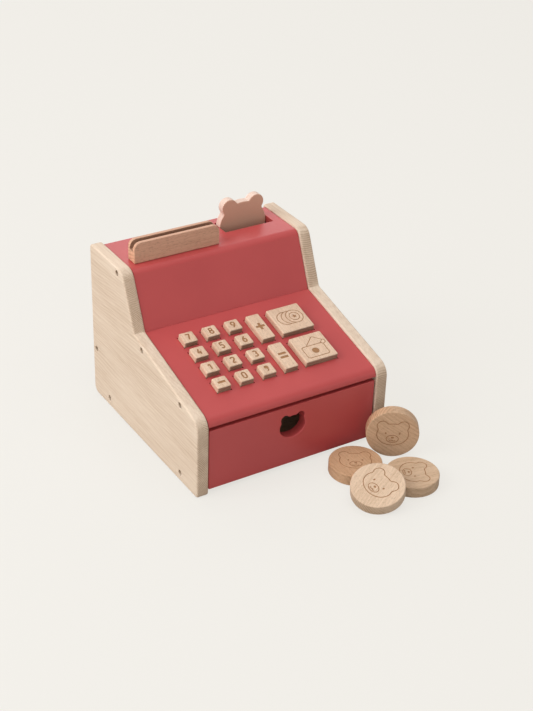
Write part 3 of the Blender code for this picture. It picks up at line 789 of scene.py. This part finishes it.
# ---- lever and card holder ----
def make_lever():
    """The lever plate with a bear-head outline, round edges and a bore for its axle."""
    low, high = extent("lever_plate")
    axle_low, axle_high = extent("lever_axle")
    axle_z = (axle_low.z + axle_high.z) / 2
    middle_x = (low.x + high.x) / 2
    half = (high.x - low.x) / 2
    ear, ear_radius, head_tall = (14.6, 20.5), 8.3, 24.2
    head_z = high.z - ear[1] - ear_radius
    face = bear((half, head_tall), ear, ear_radius, 3)
    upper = [point + Vector((middle_x, head_z)) for point in face if point.y > 0.0]
    shoulder = TOP_Z - 2 * BOARD
    lower = ([Vector((middle_x - half, shoulder))]
             + arc((middle_x, axle_z), BOSS_RADIUS, 180, 360)
             + [Vector((middle_x + half, shoulder))])
    plate = slab("lever_bear_plate", upper + lower, -high.y, -low.y, ROSE, ELEVATION, 0.9, 4)
    spot = Vector((middle_x, (low.y + high.y) / 2, axle_z)) * MM
    end = half + 2 * BEYOND
    bore = [(0.0, end), (AXLE_BORE, end), (AXLE_BORE, -end), (0.0, -end)]
    lying = Matrix.Translation(spot) @ Matrix.Rotation(math.pi / 2, 4, "Y")
    combine(plate, turned("bore", bore, ROSE, lying))
    finished(plate, "lever", "rose_paint", "lever_plate")


def make_holder():
    """The card holder: a beech block with round shoulders and a card groove."""
    low, high = extent("card_holder")
    outline = rounded([(low.x, low.z, 0), (high.x, low.z, 0), (high.x, high.z, HOLDER_ROUND),
                       (low.x, high.z, HOLDER_ROUND)], step=4.0)
    holder = slab("card_holder_block", outline, -high.y, -low.y, HOLDER_WOOD, ELEVATION)
    middle = (low.y + high.y) / 2
    half = GROOVE_WIDE / 2
    left, right = low.x - BEYOND, high.x + BEYOND
    groove = [(left, middle - half), (right, middle - half),
              (right, middle + half), (left, middle + half)]
    # the groove's cut faces take the tool's darker wood: painted shade inside the groove
    tool = slab("groove", groove, high.z - GROOVE_DEEP, high.z + BEYOND, GROOVE_SHADE_WOOD)
    combine(holder, tool)
    eased(holder, 0.5, 3)
    finished(holder, "housing", "beech", "card_holder")


# ---- drawer ----
def make_drawer():
    """The drawer's painted front with its finger hole, and its plywood tray."""
    low, high = extent("drawer_front")
    outline = [(low.x, low.z), (high.x, low.z), (high.x, high.z), (low.x, high.z)]
    front = slab("drawer_front_board", outline, -high.y, -low.y, RED, ELEVATION)
    hole = [point + FINGER_HOLE for point in bear((13.4, 11.2), (8.0, 8.7), 4.4, 4)]
    combine(front, slab("hole", hole, -high.y - BEYOND, -low.y + BEYOND, RED, ELEVATION))
    eased(front, 0.9, 4)
    finished(front, "drawer", "red_paint", "drawer_front")
    for node, stack in (("drawer_side_left", 0), ("drawer_side_right", 0),
                        ("drawer_back", 1), ("drawer_bottom", 2)):
        board(node, PLY[stack], "drawer", "inner_wood")


# ---- coins ----
def coin_place(node, up):
    """A coin's middle, its face, on the camera's side, along +Z and its picture upright."""
    points = np.array([tuple(point) for point in drawn_points(node)])
    low, high = points.min(axis=0), points.max(axis=0)
    middle = Vector((low + high) / 2)
    flat = max(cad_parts[node].data.polygons, key=lambda face: face.area)
    normal = Vector(flat.normal)
    if normal.dot(Vector((-0.3, -0.6, 0.7))) < 0:
        normal.negate()
    height = (Vector(up) - normal * Vector(up).dot(normal)).normalized()
    across = height.cross(normal)
    turn = Matrix((across, height, normal)).transposed().to_4x4()
    return Matrix.Translation(middle) @ turn


def make_coin(node, up, wood_turn, end_tint_and_painted_light, pale, dark):
    """A beech coin with a round rim and a simple bear burnt into its face."""
    place = coin_place(node, up)
    shift = tuple(0.37 * part / MM % 0.5 for part in place.translation)
    material = wood(f"{node}_wood", pale, dark, (0, 0, math.radians(wood_turn)), shift,
                    ring=3.0, ring_depth=0.35, flecks=0.3, end_tint_and_painted_light=end_tint_and_painted_light, far=0.03)
    rim, half = arc((0, 0), COIN_RADIUS, 0, 360, 3.75)[:-1], COIN_THICK / 2
    coin = slab(f"{node}_disc", rim, -half, half, material, place, COIN_EDGE, 4)
    face = place @ Matrix.Translation((0, 0, half * MM))
    head = bear((14.6, 11.6), (9.6, 9.2), 5.2)
    muzzle = arc((0, -4.8), (5.6, 3.9), 0, 360, 12)[:-1]
    smile = [(arc((side * 1.4, -5.7), 1.4, 200, 340, 20), False) for side in (-1, 1)]
    eyes = [arc((side * 6.4, 1.2), (0.8, 1.1), 0, 360, 20)[:-1] for side in (-1, 1)]
    nose = arc((0, -3.4), (1.4, 1.0), 0, 360, 20)[:-1]
    engraved(coin, face, [(head, True), (muzzle, True)] + smile, 0.8, eyes + [nose], 0.35)
    finished(coin, node, "coin_wood", node, local=True)


def make_coins():
    """The four play coins, each cut from its own bit of wood."""
    warm = ((0.62, 0.39, 0.235), (0.47, 0.27, 0.145))
    plain = ((0.64, 0.45, 0.30), (0.46, 0.30, 0.18))
    pale = ((0.72, 0.535, 0.385), (0.54, 0.37, 0.24))
    dark = ((0.63, 0.42, 0.27), (0.45, 0.275, 0.16))

    def heading(degrees):
        return (math.cos(math.radians(degrees)), math.sin(math.radians(degrees)), 0.0)

    # the fourth number tints each coin's rim: painted light where the rim faces the lamps, painted
    # shade where it turns away, over the end grain's own tone
    make_coin("play_coin_left", heading(60), 60, 0.95, *warm)
    make_coin("play_coin_right", heading(-28), 75, 0.8, *plain)
    make_coin("play_coin_propped", heading(6), 70, 0.8, *pale)
    make_coin("play_coin_upright", (0.0, 0.0, 1.0), 35, 1.15, *dark)


# ---- stage ----
def make_stage():
    """A plain pale floor, a soft world, four large soft lights and a reflector."""
    floor = slab("floor", [(-9000, -9000), (9000, -9000), (9000, 9000), (-9000, 9000)],
                 -20.0, 0.0, floor_material())
    world = bpy.data.worlds.new("studio")
    world.use_nodes = True
    bpy.context.scene.world = world
    tree = world.node_tree
    sky = tree.nodes["Background"]
    seen = tree.nodes.new("ShaderNodeBackground")
    seen.inputs[0].default_value = (0.888, 0.863, 0.812, 1.0)
    sky.inputs[0].default_value = (1.0, 0.98, 0.95, 1.0)
    sky.inputs[1].default_value = 0.45
    path = tree.nodes.new("ShaderNodeLightPath")
    choose = tree.nodes.new("ShaderNodeMixShader")
    tree.links.new(path.outputs["Is Camera Ray"], choose.inputs[0])
    tree.links.new(sky.outputs[0], choose.inputs[1])
    tree.links.new(seen.outputs[0], choose.inputs[2])
    tree.links.new(choose.outputs[0], tree.nodes["World Output"].inputs[0])
    soft_light("key", (-1.6, 0.2, 1.1), (1.3, 1.3), 24.5, glossy=False)
    soft_light("backdrop", (0.2, 2.2, 1.3), (3.0, 1.4), 17.0)
    soft_light("overhead", (0.3, 0.0, 2.0), (1.8, 1.8), 14.5, glossy=False)
    soft_light("front", (-0.9, -1.7, 0.7), (1.2, 1.2), 5.3, glossy=False)
    soft_light("reflector", (0.7, -1.2, 0.5), (1.4, 0.5), 1.0, diffuse=False)


def floor_material():
    """A pale matt floor that keeps only faint shadows."""
    s = Shader("pale_floor")
    mottle = s.noise(s.place(), 3.0)
    pale = s.mix(s.span(mottle, 0.3, 0.7), rgba(0.50, 0.487, 0.46), rgba(0.505, 0.492, 0.465))
    seen = s.node("LightPath").outputs["Is Camera Ray"]
    colour = s.mix(seen, pale, rgba(0.13, 0.128, 0.123))
    s.finish(colour, 0.95, mottle, 0.02, 0.001, Emission_Color=rgba(0.888, 0.863, 0.812),
             Specular_IOR_Level=0.1)
    s.feed(s.surface.inputs["Emission Strength"], s.math("MULTIPLY", seen, 0.82))
    return s.material


def soft_light(name, spot, size, power, glossy=True, diffuse=True):
    """A large rectangular light that looks at the object."""
    lamp = bpy.data.lights.new(name, "AREA")
    lamp.shape = "RECTANGLE"
    lamp.size, lamp.size_y = size
    lamp.energy = power
    obj = bpy.data.objects.new(name, lamp)
    obj.location = TO_FRAME @ Vector(spot)
    aim = TO_FRAME @ Vector((0.0, 0.1, 0.08)) - obj.location
    obj.rotation_euler = aim.to_track_quat("-Z", "Y").to_euler()
    obj.visible_camera = False
    obj.visible_glossy = glossy
    obj.visible_diffuse = diffuse
    bpy.context.scene.collection.objects.link(obj)


def make_camera():
    """A camera at the left front, looking down on the keypad, slightly rolled."""
    azimuth, elevation, roll = (math.radians(a) for a in (-32.43, 30.80, 1.93))
    target, distance = Vector((24.61, 90.0, 64.15)) * MM, 1345.31 * MM
    lens = bpy.data.cameras.new("camera")
    lens.sensor_fit = "VERTICAL"
    lens.sensor_height = 36.0
    lens.lens = 72.36
    back = Vector((math.sin(azimuth) * math.cos(elevation),
                   -math.cos(azimuth) * math.cos(elevation), math.sin(elevation)))
    right = (-back).cross(Vector((0, 0, 1))).normalized()
    up = right.cross(-back)
    level = right * math.cos(roll) + up * math.sin(roll)
    upright = up * math.cos(roll) - right * math.sin(roll)
    turn = Matrix((level, upright, back)).transposed().to_4x4()
    camera = bpy.data.objects.new("camera", lens)
    camera.matrix_world = TO_FRAME @ Matrix.Translation(target + back * distance) @ turn
    bpy.context.scene.collection.objects.link(camera)
    bpy.context.scene.camera = camera


make_sides(make_screws())
make_upper_shell()
make_keypad()
make_keys()
make_lever()
make_holder()
make_drawer()
make_coins()
board("back_panel", RED, "housing", "red_paint", 0.6)
board("bottom_panel", PLY[2], "housing", "inner_wood")
board("drawer_stop_rail", PLY[1], "housing", "inner_wood")
board("key_bed", PLY[2], "housing", "inner_wood", place=KEYPAD)
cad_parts["lever_axle"].data.materials.clear()
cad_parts["lever_axle"].data.materials.append(STEEL)
make_stage()
make_camera()
bpy.context.scene.view_settings.view_transform = "Standard"
